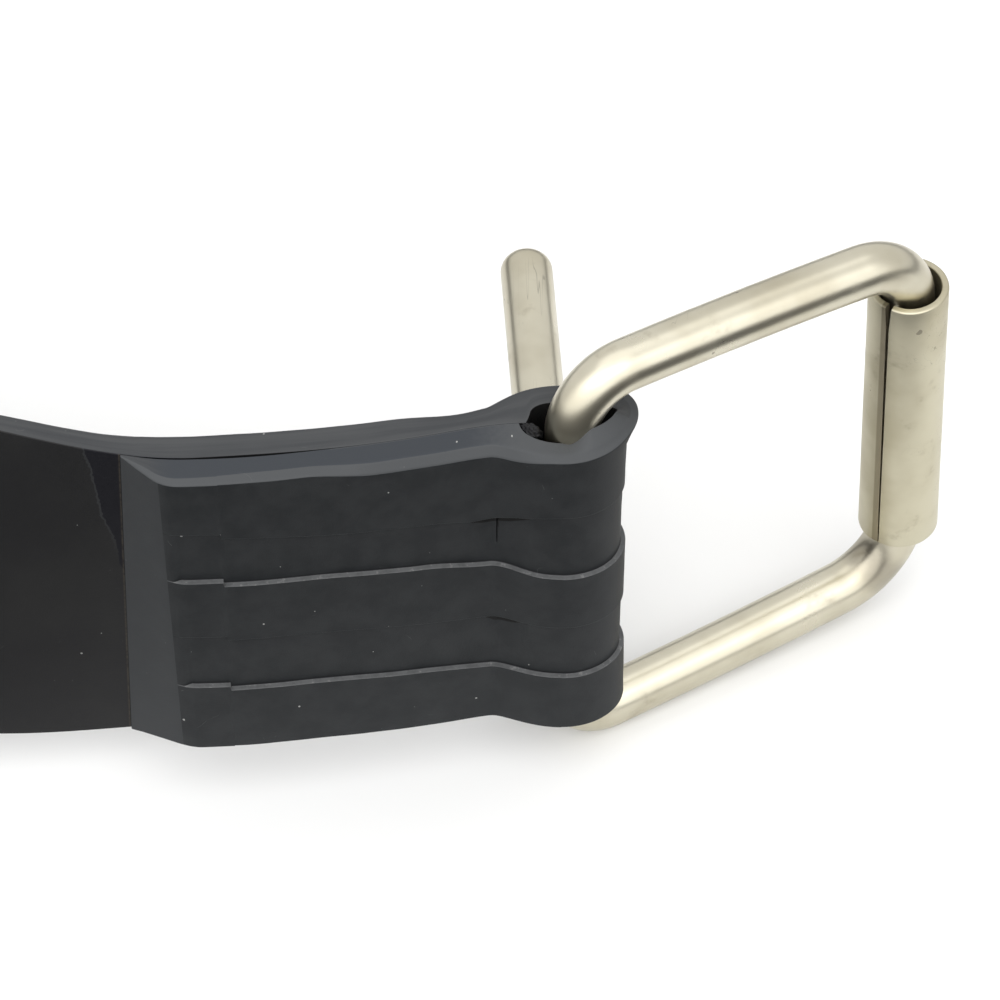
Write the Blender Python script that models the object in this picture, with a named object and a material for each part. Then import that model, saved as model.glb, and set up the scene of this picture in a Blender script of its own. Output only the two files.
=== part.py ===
"""Dive weight belt: ribbed rubber strap folded over a wire buckle with a loose tongue and a split roller."""
import math

import bmesh
import bpy
from mathutils import Matrix, Vector

# ---- driving dimensions, metres and degrees ----
MM = 0.001

STRAP_WIDTH = 50.8 * MM
STRAP_THICK = 4.2 * MM
BAND_DEPTH = 0.6 * MM          # recessed bands between the three raised ones
BAND_SLOPE = 0.3 * MM          # run of each band's ledge
BAND_EDGES = (-14.8 * MM, -5 * MM, 4.8 * MM, 15.2 * MM)
EDGE_CHAMFER = 0.8 * MM        # on the ribbed side only

# the fold round the buckle bar, seen from above, the bar standing on the origin
FOLD_X = -1.0 * MM             # widest place of the fold
HOLE_Y = 0.05 * MM
HOLE_HALF = 3.85 * MM
HOLE_LEFT = 5.7 * MM
HOLE_RIGHT = 5.9 * MM
LOOP_Y = 0.3 * MM
LOOP_HALF = 7.0 * MM
LOOP_LEFT = 10.5 * MM
LOOP_RIGHT = 8.1 * MM
BLEND = 1.5 * MM
LAYER_GAP = 0.25 * MM          # glue line between the two layers
SEAM_START_X = -12 * MM
SEAM_END_X = -56 * MM
SEAM_END_Y = -6.5 * MM
SEAM_RISE = 6.05 * MM
FLAP_BEVEL_X = -51.0 * MM
FLAP_END_X = -57.7 * MM
FLAP_END_THICK = 0.35 * MM
FLAP_STEPS = (-45 * MM, -38 * MM, -32 * MM, -26 * MM, -21 * MM, -17 * MM, -14.5 * MM)
PINCH_STEP = 1.2 * MM
LOOP_STEPS = 16

# run of the strap beyond the flap, standing on its edge
FRONT_RADIUS = 150 * MM
BACK_LENGTH = 270 * MM
SIDE_RADIUS = 100 * MM
TAIL_LENGTH = 214.6 * MM
ARC_STEP = 4.0                 # degrees between sections
LEAN_MAX = 12.0
LEAN_FROM, LEAN_TO, LEAN_END = 48 * MM, 88 * MM, 380 * MM
LIFT = 9.3 * MM                # strap edge above the floor at the buckle
LIFT_FROM, LIFT_TO = 90 * MM, 330 * MM

HOLE_COUNT = 6                 # adjusting holes in the tail
HOLE_RADIUS = 4.0 * MM
HOLE_PITCH = 30 * MM
HOLE_TO_TIP = 40 * MM
TIP_LENGTH = 20 * MM
TIP_WIDTH = 22 * MM

WIRE_RADIUS = 3.5 * MM
FRAME_YAW = 31.0
FRAME_REACH = 51.4 * MM        # bar axis to roller axis
FRAME_HALF_BAR = 31.85 * MM
FRAME_HALF_ROLLER = 29.25 * MM
FRAME_Z = LIFT + 25.75 * MM
BENDS = (5.9 * MM, 7.0 * MM, 8.0 * MM, 9.0 * MM)  # bar low, bar high, roller high, roller low
BEND_STEPS = 9
BUTT_GROOVE = 0.45 * MM        # depth and half width of the groove at the wire's butt joint

ROLLER_RADIUS = 5.3 * MM
ROLLER_WALL = 0.95 * MM
ROLLER_LENGTH = 44.6 * MM
ROLLER_Z = LIFT + 26.9 * MM
ROLLER_GAP = 1.0 * MM
ROLLER_SEAM = -122.6           # direction the split faces
ROLLER_EDGE = 0.35 * MM
ROLLER_STEPS = 56

TONGUE_YAW = 93.7
TONGUE_LENGTH = 54.4 * MM
TONGUE_OFFSET = 2.3 * MM       # the prong runs beside the bar's axis
TONGUE_Z = LIFT + 25.9 * MM
EYE_INNER = 3.8 * MM
EYE_THICK = 1.5 * MM
EYE_HEIGHT = 8.0 * MM
EYE_SWEEP = 290.0
EYE_STEPS = 30
FLAT_END_Y = 4.0 * MM
ROUND_START_Y = 14.0 * MM
TIP_ROUND = 2.4 * MM
TIP_STEPS = 5
NECK_STEPS = 10
POCKET_CLEAR = 0.3 * MM
SLOT_LEFT_X = -11 * MM
SLOT_FRONT_Y = 0.9 * MM

CIRCLE_SIDES = 24


def clear_scene():
    for ob in list(bpy.data.objects):
        bpy.data.objects.remove(ob, do_unlink=True)


def new_collection(name):
    col = bpy.data.collections.new(name)
    bpy.context.scene.collection.children.link(col)
    return col


def make_material(name, colour, metallic, roughness):
    mat = bpy.data.materials.new(name)
    mat.use_nodes = True
    shader = mat.node_tree.nodes["Principled BSDF"]
    shader.inputs["Base Color"].default_value = (*colour, 1.0)
    shader.inputs["Metallic"].default_value = metallic
    shader.inputs["Roughness"].default_value = roughness
    return mat


def add_object(name, mesh, material, collection):
    ob = bpy.data.objects.new(name, mesh)
    if material:
        mesh.materials.append(material)
    collection.objects.link(ob)
    return ob


def loft(name, rings):
    """Closed skin through equal rings of points, capped at both ends."""
    bm = bmesh.new()
    rows = [[bm.verts.new(p) for p in ring] for ring in rings]
    for low, high in zip(rows, rows[1:]):
        for i in range(len(low)):
            j = (i + 1) % len(low)
            bm.faces.new((low[i], low[j], high[j], high[i]))
    bm.faces.new(rows[0])
    bm.faces.new(rows[-1])
    bmesh.ops.recalc_face_normals(bm, faces=bm.faces)
    mesh = bpy.data.meshes.new(name)
    bm.to_mesh(mesh)
    bm.free()
    return mesh


def cylinder(name, radius, low, high, sides, collection):
    bm = bmesh.new()
    axis = high - low
    turn = axis.to_track_quat("Z", "Y").to_matrix().to_4x4()
    place = Matrix.Translation((low + high) / 2) @ turn
    bmesh.ops.create_cone(bm, cap_ends=True, segments=sides, radius1=radius, radius2=radius,
                          depth=axis.length, matrix=place)
    mesh = bpy.data.meshes.new(name)
    bm.to_mesh(mesh)
    bm.free()
    return add_object(name, mesh, None, collection)


def prism(name, outline, low, high, collection):
    """Solid with a polygon in plan, from height low to height high."""
    rings = [[Vector((x, y, z)) for x, y in outline] for z in (low, high)]
    return add_object(name, loft(name, rings), None, collection)


def cut(target, cutters):
    """Take the cutters out of the target and keep the result as its mesh."""
    for cutter in cutters:
        cutter.hide_render = True
        cutter.display_type = "WIRE"
        mod = target.modifiers.new("cut", "BOOLEAN")
        mod.operation = "DIFFERENCE"
        mod.solver = "EXACT"
        mod.object = cutter


def smooth_step(value, start, end):
    t = min(1.0, max(0.0, (value - start) / (end - start)))
    return t * t * (3 - 2 * t)


def smooth_min(a, b):
    h = max(0.0, 1 - abs(a - b) / BLEND)
    return min(a, b) - h * h * BLEND / 4


# ---- strap ----
def seam_y(x):
    """Line between the two layers, in plan."""
    t = (x - SEAM_END_X) / (SEAM_START_X - SEAM_END_X)
    return smooth_min(SEAM_END_Y + SEAM_RISE * t * t, HOLE_Y)


def bulge(x, half, left):
    """Half height of an ellipse left of the fold's widest place."""
    t = (FOLD_X - x) / left
    return half * math.sqrt(max(0.0, 1 - t * t))


def layer_points(x, side):
    """Inner and outer point of one layer at x; side -1 is the flap, +1 the layer behind it."""
    seam = seam_y(x)
    inner = max(LAYER_GAP / 2, bulge(x, HOLE_HALF, HOLE_LEFT))
    loop = bulge(x, LOOP_HALF, LOOP_LEFT) + side * (LOOP_Y - HOLE_Y)
    outer = -smooth_min(-STRAP_THICK, -loop)
    return Vector((x, seam + side * inner, 0)), Vector((x, seam + side * outer, 0))


def lean_angle(run):
    up = smooth_step(run, LEAN_FROM, LEAN_TO)
    return math.radians(LEAN_MAX) * up * (1 - smooth_step(run, LEAN_TO, LEAN_END))


def section(inner, outer, run, side, grooved=True):
    """Ribbed cross-section from the smooth face's point to the ribbed face's point."""
    across = outer - inner
    thick = across.length
    across.normalize()
    lean = lean_angle(run)
    up = Vector((0, 0, math.cos(lean))) + across * side * math.sin(lean)
    out = across * math.cos(lean) - Vector((0, 0, side * math.sin(lean)))
    rise = STRAP_WIDTH / 2 + LIFT * (1 - smooth_step(run, LIFT_FROM, LIFT_TO))
    centre = inner + Vector((0, 0, rise + STRAP_THICK * math.sin(lean)))
    chamfer = min(EDGE_CHAMFER, 0.4 * thick)
    depth = BAND_DEPTH if grooved else 0.0
    half = STRAP_WIDTH / 2
    low, mid_low, mid_high, high = BAND_EDGES
    profile = [(0, -half), (thick - chamfer, -half), (thick, chamfer - half),
               (thick, low), (thick - depth, low + BAND_SLOPE),
               (thick - depth, mid_low - BAND_SLOPE), (thick, mid_low),
               (thick, mid_high), (thick - depth, mid_high + BAND_SLOPE),
               (thick - depth, high - BAND_SLOPE), (thick, high),
               (thick, half - chamfer), (thick - chamfer, half), (0, half)]
    return [centre + out * n + up * u for n, u in profile]


def flap_sections():
    rings = []
    for x, thick in ((FLAP_END_X, FLAP_END_THICK), (FLAP_BEVEL_X, STRAP_THICK)):
        inner = layer_points(x, -1)[0]
        outer = inner - Vector((0, thick, 0))
        rings.append(section(inner, outer, -x, -1, grooved=False))
    for x in (FLAP_BEVEL_X + BAND_SLOPE,) + FLAP_STEPS:
        rings.append(section(*layer_points(x, -1), -x, -1))
    return rings


def pinch_places():
    """Close-set places between the flat layers and the fold's widest place."""
    count = round((FOLD_X - SEAM_START_X) / PINCH_STEP)
    return [SEAM_START_X + (FOLD_X - SEAM_START_X) * i / count for i in range(count)]


def loop_sections():
    rings = [section(*layer_points(x, -1), -x, -1) for x in pinch_places()]
    for i in range(LOOP_STEPS + 1):
        turn = math.pi * (i / LOOP_STEPS - 0.5)
        cos, sin = math.cos(turn), math.sin(turn)
        inner = Vector((FOLD_X + HOLE_RIGHT * cos, HOLE_Y + HOLE_HALF * sin, 0))
        outer = Vector((FOLD_X + LOOP_RIGHT * cos, LOOP_Y + LOOP_HALF * sin, 0))
        rings.append(section(inner, outer, 0, 1))
    rings += [section(*layer_points(x, 1), -x, 1) for x in reversed(pinch_places())]
    return rings


def arc_sections(centre, radius, start, end, run):
    """Sections round a clockwise arc; the ribbed face is on its inside."""
    count = round((start - end) / ARC_STEP)
    rings = []
    for i in range(count + 1):
        angle = math.radians(start + (end - start) * i / count)
        ray = Vector((math.cos(angle), math.sin(angle), 0))
        length = run + radius * (math.radians(start) - angle)
        rings.append(section(centre + ray * radius, centre + ray * (radius - STRAP_THICK), length, 1))
    return rings


def tail_x():
    return SEAM_END_X + BACK_LENGTH + SIDE_RADIUS


def tail_end_y():
    return SEAM_END_Y + 2 * FRONT_RADIUS - SIDE_RADIUS - TAIL_LENGTH


def run_sections():
    """The strap from the flap's end round to its tip."""
    front = Vector((SEAM_END_X, SEAM_END_Y + FRONT_RADIUS, 0))
    rings = [section(*layer_points(x, 1), -x, 1) for x in reversed(FLAP_STEPS)]
    rings += arc_sections(front, FRONT_RADIUS, 270, 90, -SEAM_END_X)
    side = Vector((SEAM_END_X + BACK_LENGTH, SEAM_END_Y + 2 * FRONT_RADIUS - SIDE_RADIUS, 0))
    rings += arc_sections(side, SIDE_RADIUS, 90, 0, LEAN_END)
    tip = Vector((tail_x(), tail_end_y(), 0))
    rings.append(section(tip, tip - Vector((STRAP_THICK, 0, 0)), LEAN_END, 1))
    return rings


def tongue_window(cutters):
    """Pocket for the tongue's eye and the window it comes out of, at the back of the fold."""
    half = Vector((0, 0, EYE_HEIGHT / 2 + POCKET_CLEAR))
    centre = Vector((0, 0, TONGUE_Z))
    radius = EYE_INNER + EYE_THICK + POCKET_CLEAR
    pocket = cylinder("pocket_cutter", radius, centre - half, centre + half, 2 * CIRCLE_SIDES, cutters)
    reach = 2 * LOOP_HALF
    outline = [(SLOT_LEFT_X, SLOT_FRONT_Y), (radius * 0.6, SLOT_FRONT_Y), (reach, reach * 0.5),
               (reach, reach), (SLOT_LEFT_X, reach)]
    low, high = (centre - half).z, (centre + half).z
    return [pocket, prism("window_cutter", outline, low, high, cutters)]


def adjusting_holes(cutters):
    holes = []
    x = tail_x()
    for i in range(HOLE_COUNT):
        y = tail_end_y() + HOLE_TO_TIP + i * HOLE_PITCH
        ends = [Vector((x + d, y, STRAP_WIDTH / 2)) for d in (STRAP_THICK, -2 * STRAP_THICK)]
        holes.append(cylinder(f"hole_cutter_{i}", HOLE_RADIUS, *ends, CIRCLE_SIDES + 8, cutters))
    return holes


def tip_corners(cutters):
    """Two wedges that taper the strap's free end."""
    end, x = tail_end_y(), tail_x()
    pieces = []
    for side in (-1, 1):
        middle = STRAP_WIDTH / 2
        near, far = middle + side * TIP_WIDTH / 2, middle + side * STRAP_WIDTH
        shape = [(end - MM, near - side * MM * 0.7), (end + TIP_LENGTH, middle + side * middle),
                 (end + TIP_LENGTH, far), (end - MM, far)]
        rings = [[Vector((x + d, y, z)) for y, z in shape] for d in (-2 * STRAP_THICK, STRAP_THICK)]
        pieces.append(add_object(f"tip_cutter_{side + 1}", loft("tip_cutter", rings), None, cutters))
    return pieces


def build_strap(parts, cutters, rubber):
    mesh = loft("strap", flap_sections() + loop_sections() + run_sections())
    strap = add_object("strap", mesh, rubber, parts)
    cut(strap, tongue_window(cutters) + adjusting_holes(cutters) + tip_corners(cutters))


# ---- buckle frame ----
def frame_point(reach, height):
    yaw = math.radians(FRAME_YAW)
    return Vector((reach * math.cos(yaw), reach * math.sin(yaw), FRAME_Z + height))


def rounded_loop(corners, radii, steps):
    """Points round a closed polygon with its corners bent to the radii."""
    points = []
    for i, (corner, radius) in enumerate(zip(corners, radii)):
        before = (corners[i - 1] - corner).normalized()
        after = (corners[(i + 1) % len(corners)] - corner).normalized()
        half = before.angle(after) / 2
        centre = corner + (before + after).normalized() * radius / math.sin(half)
        start = corner + before * radius / math.tan(half) - centre
        end = corner + after * radius / math.tan(half) - centre
        turn = start.angle(end)
        for k in range(steps + 1):
            a = turn * k / steps
            arm = (start * math.sin(turn - a) + end * math.sin(a)) / math.sin(turn)
            points.append(centre + arm)
    return points


def frame_corners():
    return [frame_point(0, -FRAME_HALF_BAR), frame_point(0, FRAME_HALF_BAR),
            frame_point(FRAME_REACH, FRAME_HALF_ROLLER), frame_point(FRAME_REACH, -FRAME_HALF_ROLLER)]


def swept_wire(name, points, radius):
    curve = bpy.data.curves.new(name, "CURVE")
    curve.dimensions = "3D"
    spline = curve.splines.new("POLY")
    spline.points.add(len(points) - 1)
    for knot, place in zip(spline.points, points):
        knot.co = (*place, 1)
    spline.use_cyclic_u = True
    curve.bevel_depth = radius
    curve.bevel_resolution = CIRCLE_SIDES // 2 - 2
    source = bpy.data.objects.new(name + "_curve", curve)
    mesh = bpy.data.meshes.new_from_object(source)
    bpy.data.objects.remove(source)
    bm = bmesh.new()
    bm.from_mesh(mesh)
    bmesh.ops.remove_doubles(bm, verts=bm.verts, dist=0.01 * MM)
    bmesh.ops.recalc_face_normals(bm, faces=bm.faces)
    bm.to_mesh(mesh)
    bm.free()
    mesh.name = name
    return mesh


def butt_groove(points, cutters):
    """Ring that leaves a shallow groove where the wire's ends meet, in the bend under the roller."""
    place = 3 * (BEND_STEPS + 1) + round(0.58 * BEND_STEPS)
    centre = points[place]
    along = (points[place + 1] - points[place - 1]).normalized()
    side = along.cross(Vector((0, 0, 1))).normalized()
    up = side.cross(along)
    rings = []
    for i in range(CIRCLE_SIDES + 1):
        a = 2 * math.pi * i / CIRCLE_SIDES
        ray = side * math.cos(a) + up * math.sin(a)
        rings.append([centre + ray * (WIRE_RADIUS - BUTT_GROOVE), centre + ray * (WIRE_RADIUS + MM)
                      + along * BUTT_GROOVE, centre + ray * (WIRE_RADIUS + MM) - along * BUTT_GROOVE])
    bm = bmesh.new()
    rows = [[bm.verts.new(p) for p in ring] for ring in rings[:-1]]
    for k, row in enumerate(rows):
        after = rows[(k + 1) % len(rows)]
        for i in range(3):
            bm.faces.new((row[i], row[(i + 1) % 3], after[(i + 1) % 3], after[i]))
    bmesh.ops.recalc_face_normals(bm, faces=bm.faces)
    mesh = bpy.data.meshes.new("butt_cutter")
    bm.to_mesh(mesh)
    bm.free()
    return add_object("butt_cutter", mesh, None, cutters)


def build_frame(parts, cutters, steel):
    points = rounded_loop(frame_corners(), BENDS, BEND_STEPS)
    frame = add_object("buckle_frame", swept_wire("buckle_frame", points, WIRE_RADIUS), steel, parts)
    cut(frame, [butt_groove(points, cutters)])


# ---- roller ----
def build_roller(parts, steel):
    axis = frame_point(FRAME_REACH, 0)
    axis.z = ROLLER_Z
    half, edge = ROLLER_LENGTH / 2, ROLLER_EDGE
    inner = ROLLER_RADIUS - ROLLER_WALL
    profile = [(inner, -half), (ROLLER_RADIUS - edge, -half), (ROLLER_RADIUS, edge - half),
               (ROLLER_RADIUS, half - edge), (ROLLER_RADIUS - edge, half), (inner, half)]
    gap = ROLLER_GAP / ROLLER_RADIUS
    start = math.radians(ROLLER_SEAM) + gap / 2
    rings = []
    for i in range(ROLLER_STEPS + 1):
        a = start + (2 * math.pi - gap) * i / ROLLER_STEPS
        ray = Vector((math.cos(a), math.sin(a), 0))
        rings.append([ray * r + Vector((0, 0, z)) for r, z in profile])
    roller = add_object("roller", loft("roller", rings), steel, parts)
    roller.location = axis


# ---- tongue ----
def prong_section(centre, across, half_across, half_high, power):
    """Section between a circle (power 1) and a rounded bar (low power)."""
    ring = []
    for i in range(CIRCLE_SIDES):
        a = 2 * math.pi * i / CIRCLE_SIDES
        cos, sin = math.cos(a), math.sin(a)
        x = half_across * math.copysign(abs(cos) ** power, cos)
        z = half_high * math.copysign(abs(sin) ** power, sin)
        ring.append(centre + across * x + Vector((0, 0, z)))
    return ring


def tongue_sections():
    mean = EYE_INNER + EYE_THICK / 2
    rings = []
    for k in range(TIP_STEPS + 1):
        a = math.pi / 2 * k / TIP_STEPS
        y = TONGUE_LENGTH - TIP_ROUND * (1 - math.sin(a))
        radius = WIRE_RADIUS - TIP_ROUND * (1 - math.cos(a))
        rings.append(prong_section(Vector((-TONGUE_OFFSET, y, 0)), Vector((1, 0, 0)), radius, radius, 1))
    rings.reverse()
    for k in range(NECK_STEPS + 1):
        y = ROUND_START_Y + (FLAT_END_Y - ROUND_START_Y) * k / NECK_STEPS
        t = smooth_step(k, 0, NECK_STEPS)
        centre = Vector((-TONGUE_OFFSET - (mean - TONGUE_OFFSET) * t, y, 0))
        half = WIRE_RADIUS + (EYE_THICK / 2 - WIRE_RADIUS) * t
        high = WIRE_RADIUS + (EYE_HEIGHT / 2 - WIRE_RADIUS) * t
        rings.append(prong_section(centre, Vector((1, 0, 0)), half, high, 1 - 0.65 * t))
    for k in range(EYE_STEPS + 1):
        a = math.radians(180 + EYE_SWEEP * k / EYE_STEPS)
        ray = Vector((math.cos(a), math.sin(a), 0))
        rings.append(prong_section(ray * mean, -ray, EYE_THICK / 2, EYE_HEIGHT / 2, 0.35))
    return rings


def build_tongue(parts, steel):
    tongue = add_object("tongue", loft("tongue", tongue_sections()), steel, parts)
    tongue.location = (0, 0, TONGUE_Z)
    tongue.rotation_euler = (0, 0, math.radians(TONGUE_YAW - 90))


def main():
    clear_scene()
    parts = new_collection("dive_weight_belt")
    cutters = new_collection("cutters")
    rubber = make_material("rubber", (0.035, 0.037, 0.04), 0.0, 0.55)
    steel = make_material("steel", (0.72, 0.69, 0.62), 1.0, 0.28)
    build_strap(parts, cutters, rubber)
    build_frame(parts, cutters, steel)
    build_roller(parts, steel)
    build_tongue(parts, steel)
    cutters.hide_render = True


main()
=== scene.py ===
import math

import bmesh
import bpy
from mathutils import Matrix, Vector


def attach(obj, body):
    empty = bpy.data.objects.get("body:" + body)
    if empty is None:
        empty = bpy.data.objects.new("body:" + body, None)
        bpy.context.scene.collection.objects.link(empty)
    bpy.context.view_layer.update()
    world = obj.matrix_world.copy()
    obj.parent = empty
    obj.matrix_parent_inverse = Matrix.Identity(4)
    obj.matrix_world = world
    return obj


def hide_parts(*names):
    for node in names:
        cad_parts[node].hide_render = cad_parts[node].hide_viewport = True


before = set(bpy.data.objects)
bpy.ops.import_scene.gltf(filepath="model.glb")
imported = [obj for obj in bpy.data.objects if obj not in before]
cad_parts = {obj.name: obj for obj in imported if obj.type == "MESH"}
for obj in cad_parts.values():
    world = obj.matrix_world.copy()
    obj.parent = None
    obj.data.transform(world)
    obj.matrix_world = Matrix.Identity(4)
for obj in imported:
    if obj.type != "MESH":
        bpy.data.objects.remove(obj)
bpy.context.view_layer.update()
mm = 0.001


# small helpers shared by every piece
def linkPiece(name, mesh, body, nodeName):
    piece = bpy.data.objects.new(name, mesh)
    bpy.context.scene.collection.objects.link(piece)
    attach(piece, body)
    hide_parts(nodeName)
    return piece


def smoothStep(value, start, end):
    t = min(1.0, max(0.0, (value - start) / (end - start)))
    return t * t * (3 - 2 * t)


def softMin(a, b, width):
    h = max(0.0, 1 - abs(a - b) / width)
    return min(a, b) - h * h * width / 4


def hump(value, centre, width):
    return math.exp(-((value - centre) / width) ** 2)


def ripple(a, b):
    # slow unevenness between -1 and 1, the same every run
    waves = ((1.7, 0.9, 0.0), (0.61, -2.3, 1.3), (3.1, 1.9, 4.0))
    return sum(math.sin(a * p + b * q + shift) for p, q, shift in waves) / 3


def skinBetween(name, rings, closed=False):
    # quads from ring to ring, with a cap on each open end
    count, size = len(rings), len(rings[0])
    points = [tuple(p) for ring in rings for p in ring]
    faces = []
    for i in range(count if closed else count - 1):
        k = (i + 1) % count
        for j in range(size):
            n = (j + 1) % size
            faces.append((i * size + j, i * size + n, k * size + n, k * size + j))
    if not closed:
        faces.append(tuple(range(size)))
        faces.append(tuple(range((count - 1) * size, count * size)))
    mesh = bpy.data.meshes.new(name)
    mesh.from_pydata(points, [], faces)
    return mesh


def faceOutwards(mesh, sharpAngle=40):
    bm = bmesh.new()
    bm.from_mesh(mesh)
    bmesh.ops.recalc_face_normals(bm, faces=bm.faces)
    bm.to_mesh(mesh)
    bm.free()
    mesh.shade_smooth()
    mesh.set_sharp_from_angle(angle=math.radians(sharpAngle))


def bakeModifiers(mesh, modifiers):
    # run a list of (type, settings) on a throwaway object and return the plain mesh
    holder = bpy.data.objects.new("holder", mesh)
    bpy.context.scene.collection.objects.link(holder)
    for kind, settings in modifiers:
        mod = holder.modifiers.new(kind.lower(), kind)
        for key, value in settings.items():
            if key.startswith("Socket_"):
                mod[key] = value
            else:
                setattr(mod, key, value)
    graph = bpy.context.evaluated_depsgraph_get()
    result = bpy.data.meshes.new_from_object(holder.evaluated_get(graph))
    bpy.data.objects.remove(holder)
    return result


def startTree(name, inputs):
    # geometry node group with named inputs, and their identifiers for the modifier
    tree = bpy.data.node_groups.new(name, "GeometryNodeTree")
    face = tree.interface
    face.new_socket("Geometry", in_out="INPUT", socket_type="NodeSocketGeometry")
    ids = {label: face.new_socket(label, in_out="INPUT", socket_type="NodeSocket" + kind).identifier
           for label, kind in inputs.items()}
    face.new_socket("Geometry", in_out="OUTPUT", socket_type="NodeSocketGeometry")
    return tree, ids, tree.nodes.new("NodeGroupInput")


def endTree(tree, geometry, material):
    # real geometry with its material, ready to become a plain mesh
    real = tree.nodes.new("GeometryNodeRealizeInstances")
    paint = tree.nodes.new("GeometryNodeSetMaterial")
    paint.inputs["Material"].default_value = material
    out = tree.nodes.new("NodeGroupOutput")
    tree.links.new(geometry, real.inputs[0])
    tree.links.new(real.outputs[0], paint.inputs["Geometry"])
    tree.links.new(paint.outputs[0], out.inputs[0])


# shader maths: a wrapped socket that takes plain operators
class Wire:
    def __init__(self, sheet, socket):
        self.sheet, self.socket = sheet, socket

    def __add__(self, other):
        return self.sheet.maths("ADD", self, other)

    def __sub__(self, other):
        return self.sheet.maths("SUBTRACT", self, other)

    def __mul__(self, other):
        return self.sheet.maths("MULTIPLY", self, other)

    def __gt__(self, other):
        return self.sheet.maths("GREATER_THAN", self, other)

    def __lt__(self, other):
        return self.sheet.maths("LESS_THAN", self, other)

    def __rsub__(self, other):
        return self.sheet.maths("SUBTRACT", other, self)

    __radd__ = __add__
    __rmul__ = __mul__

    def clamped(self):
        return self.sheet.maths("ADD", self, 0.0, clamp=True)

    def ramp(self, start, end):
        # 0 below start, 1 above end, eased between
        return self.sheet.node("ShaderNodeMapRange", {"interpolation_type": "SMOOTHSTEP"},
                               {"Value": self, "From Min": start, "From Max": end})

    def between(self, low, high, soft):
        return self.ramp(low - soft, low + soft) * (1 - self.ramp(high - soft, high + soft))


class Sheet:
    def __init__(self, name, owner=None):
        self.owner = owner or bpy.data.materials.new(name)
        self.owner.use_nodes = True
        self.tree = self.owner.node_tree
        self.tree.nodes.clear()

    def node(self, kind, settings=None, inputs=None, take=0):
        made = self.tree.nodes.new(kind)
        for key, value in (settings or {}).items():
            if key == "stops":
                ramp = made.color_ramp
                while len(ramp.elements) < len(value):
                    ramp.elements.new(0.5)
                for element, (place, colour) in zip(ramp.elements, value):
                    element.position, element.color = place, (*colour, 1)
            else:
                setattr(made, key, value)
        for key, value in (inputs or {}).items():
            socket = made.inputs[key]
            if isinstance(value, Wire):
                self.tree.links.new(value.socket, socket)
            elif isinstance(value, tuple) and len(value) == 3 and socket.type == "RGBA":
                socket.default_value = (*value, 1)
            else:
                socket.default_value = value
        return Wire(self, made.outputs[take])

    def maths(self, operation, a, b, clamp=False):
        return self.node("ShaderNodeMath", {"operation": operation, "use_clamp": clamp}, {0: a, 1: b})

    def mix(self, share, a, b, blend="MIX"):
        return self.node("ShaderNodeMix", {"data_type": "RGBA", "blend_type": blend, "clamp_factor": True},
                         {0: share, 6: a, 7: b}, take=2)

    def place(self, scale=(1, 1, 1)):
        spot = self.node("ShaderNodeTexCoord", take=3)
        return self.node("ShaderNodeMapping", None, {"Vector": spot, "Scale": scale})

    def noise(self, vector, scale, detail=3.0, rough=0.5, warp=0.0):
        return self.node("ShaderNodeTexNoise", None, {"Vector": vector, "Scale": scale, "Detail": detail,
                                                      "Roughness": rough, "Distortion": warp})

    def split(self, vector, take):
        return self.node("ShaderNodeSeparateXYZ", None, {0: vector}, take)

    def flecks(self, vector, scale, size, share):
        # sparse round specks: a small share of the cells of a voronoi pattern
        near = self.node("ShaderNodeTexVoronoi", None, {"Vector": vector, "Scale": scale})
        tone = self.node("ShaderNodeTexVoronoi", None, {"Vector": vector, "Scale": scale}, take=1)
        chance = self.split(tone, 0)
        radius = self.split(tone, 1) * size + size * 0.4
        return (near < radius) * (chance > 1 - share)

    def finish(self, **inputs):
        named = {key.replace("_", " "): value for key, value in inputs.items()}
        shader = self.node("ShaderNodeBsdfPrincipled", None, named)
        out = self.tree.nodes.new("ShaderNodeOutputMaterial")
        self.tree.links.new(shader.socket, out.inputs["Surface"])
        return self.owner


# camera, floor and light
studio = {
    "aim": (-9.2 * mm, 10.3 * mm, 34.7 * mm),
    "elevation": 47.05,
    "distance": 1201.4 * mm,
    "lens": 330.15,
    "floorReach": 15.0,
    "floorDarkFrom": -0.044, "floorDarkTo": -0.030,
    "floorColour": (0.78, 0.78, 0.775), "floorGrain": (0.75, 0.75, 0.75), "floorDark": (0.05, 0.05, 0.05),
    "around": 1.02, "frontLow": 1.9, "frontHigh": 3.1, "frontDark": 0.10,
    "backdrop": 1.1, "overheadPower": 3,
}


def setCamera():
    tilt = math.radians(studio["elevation"])
    back = Vector((0, -math.cos(tilt), math.sin(tilt)))
    data = bpy.data.cameras.new("studioCamera")
    data.lens = studio["lens"]
    data.sensor_width = 36
    data.clip_start, data.clip_end = 0.05, 100
    camera = bpy.data.objects.new("studioCamera", data)
    camera.location = Vector(studio["aim"]) + back * studio["distance"]
    camera.rotation_mode = "QUATERNION"
    camera.rotation_quaternion = (-back).to_track_quat("-Z", "Y")
    bpy.context.scene.collection.objects.link(camera)
    bpy.context.scene.camera = camera


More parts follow.
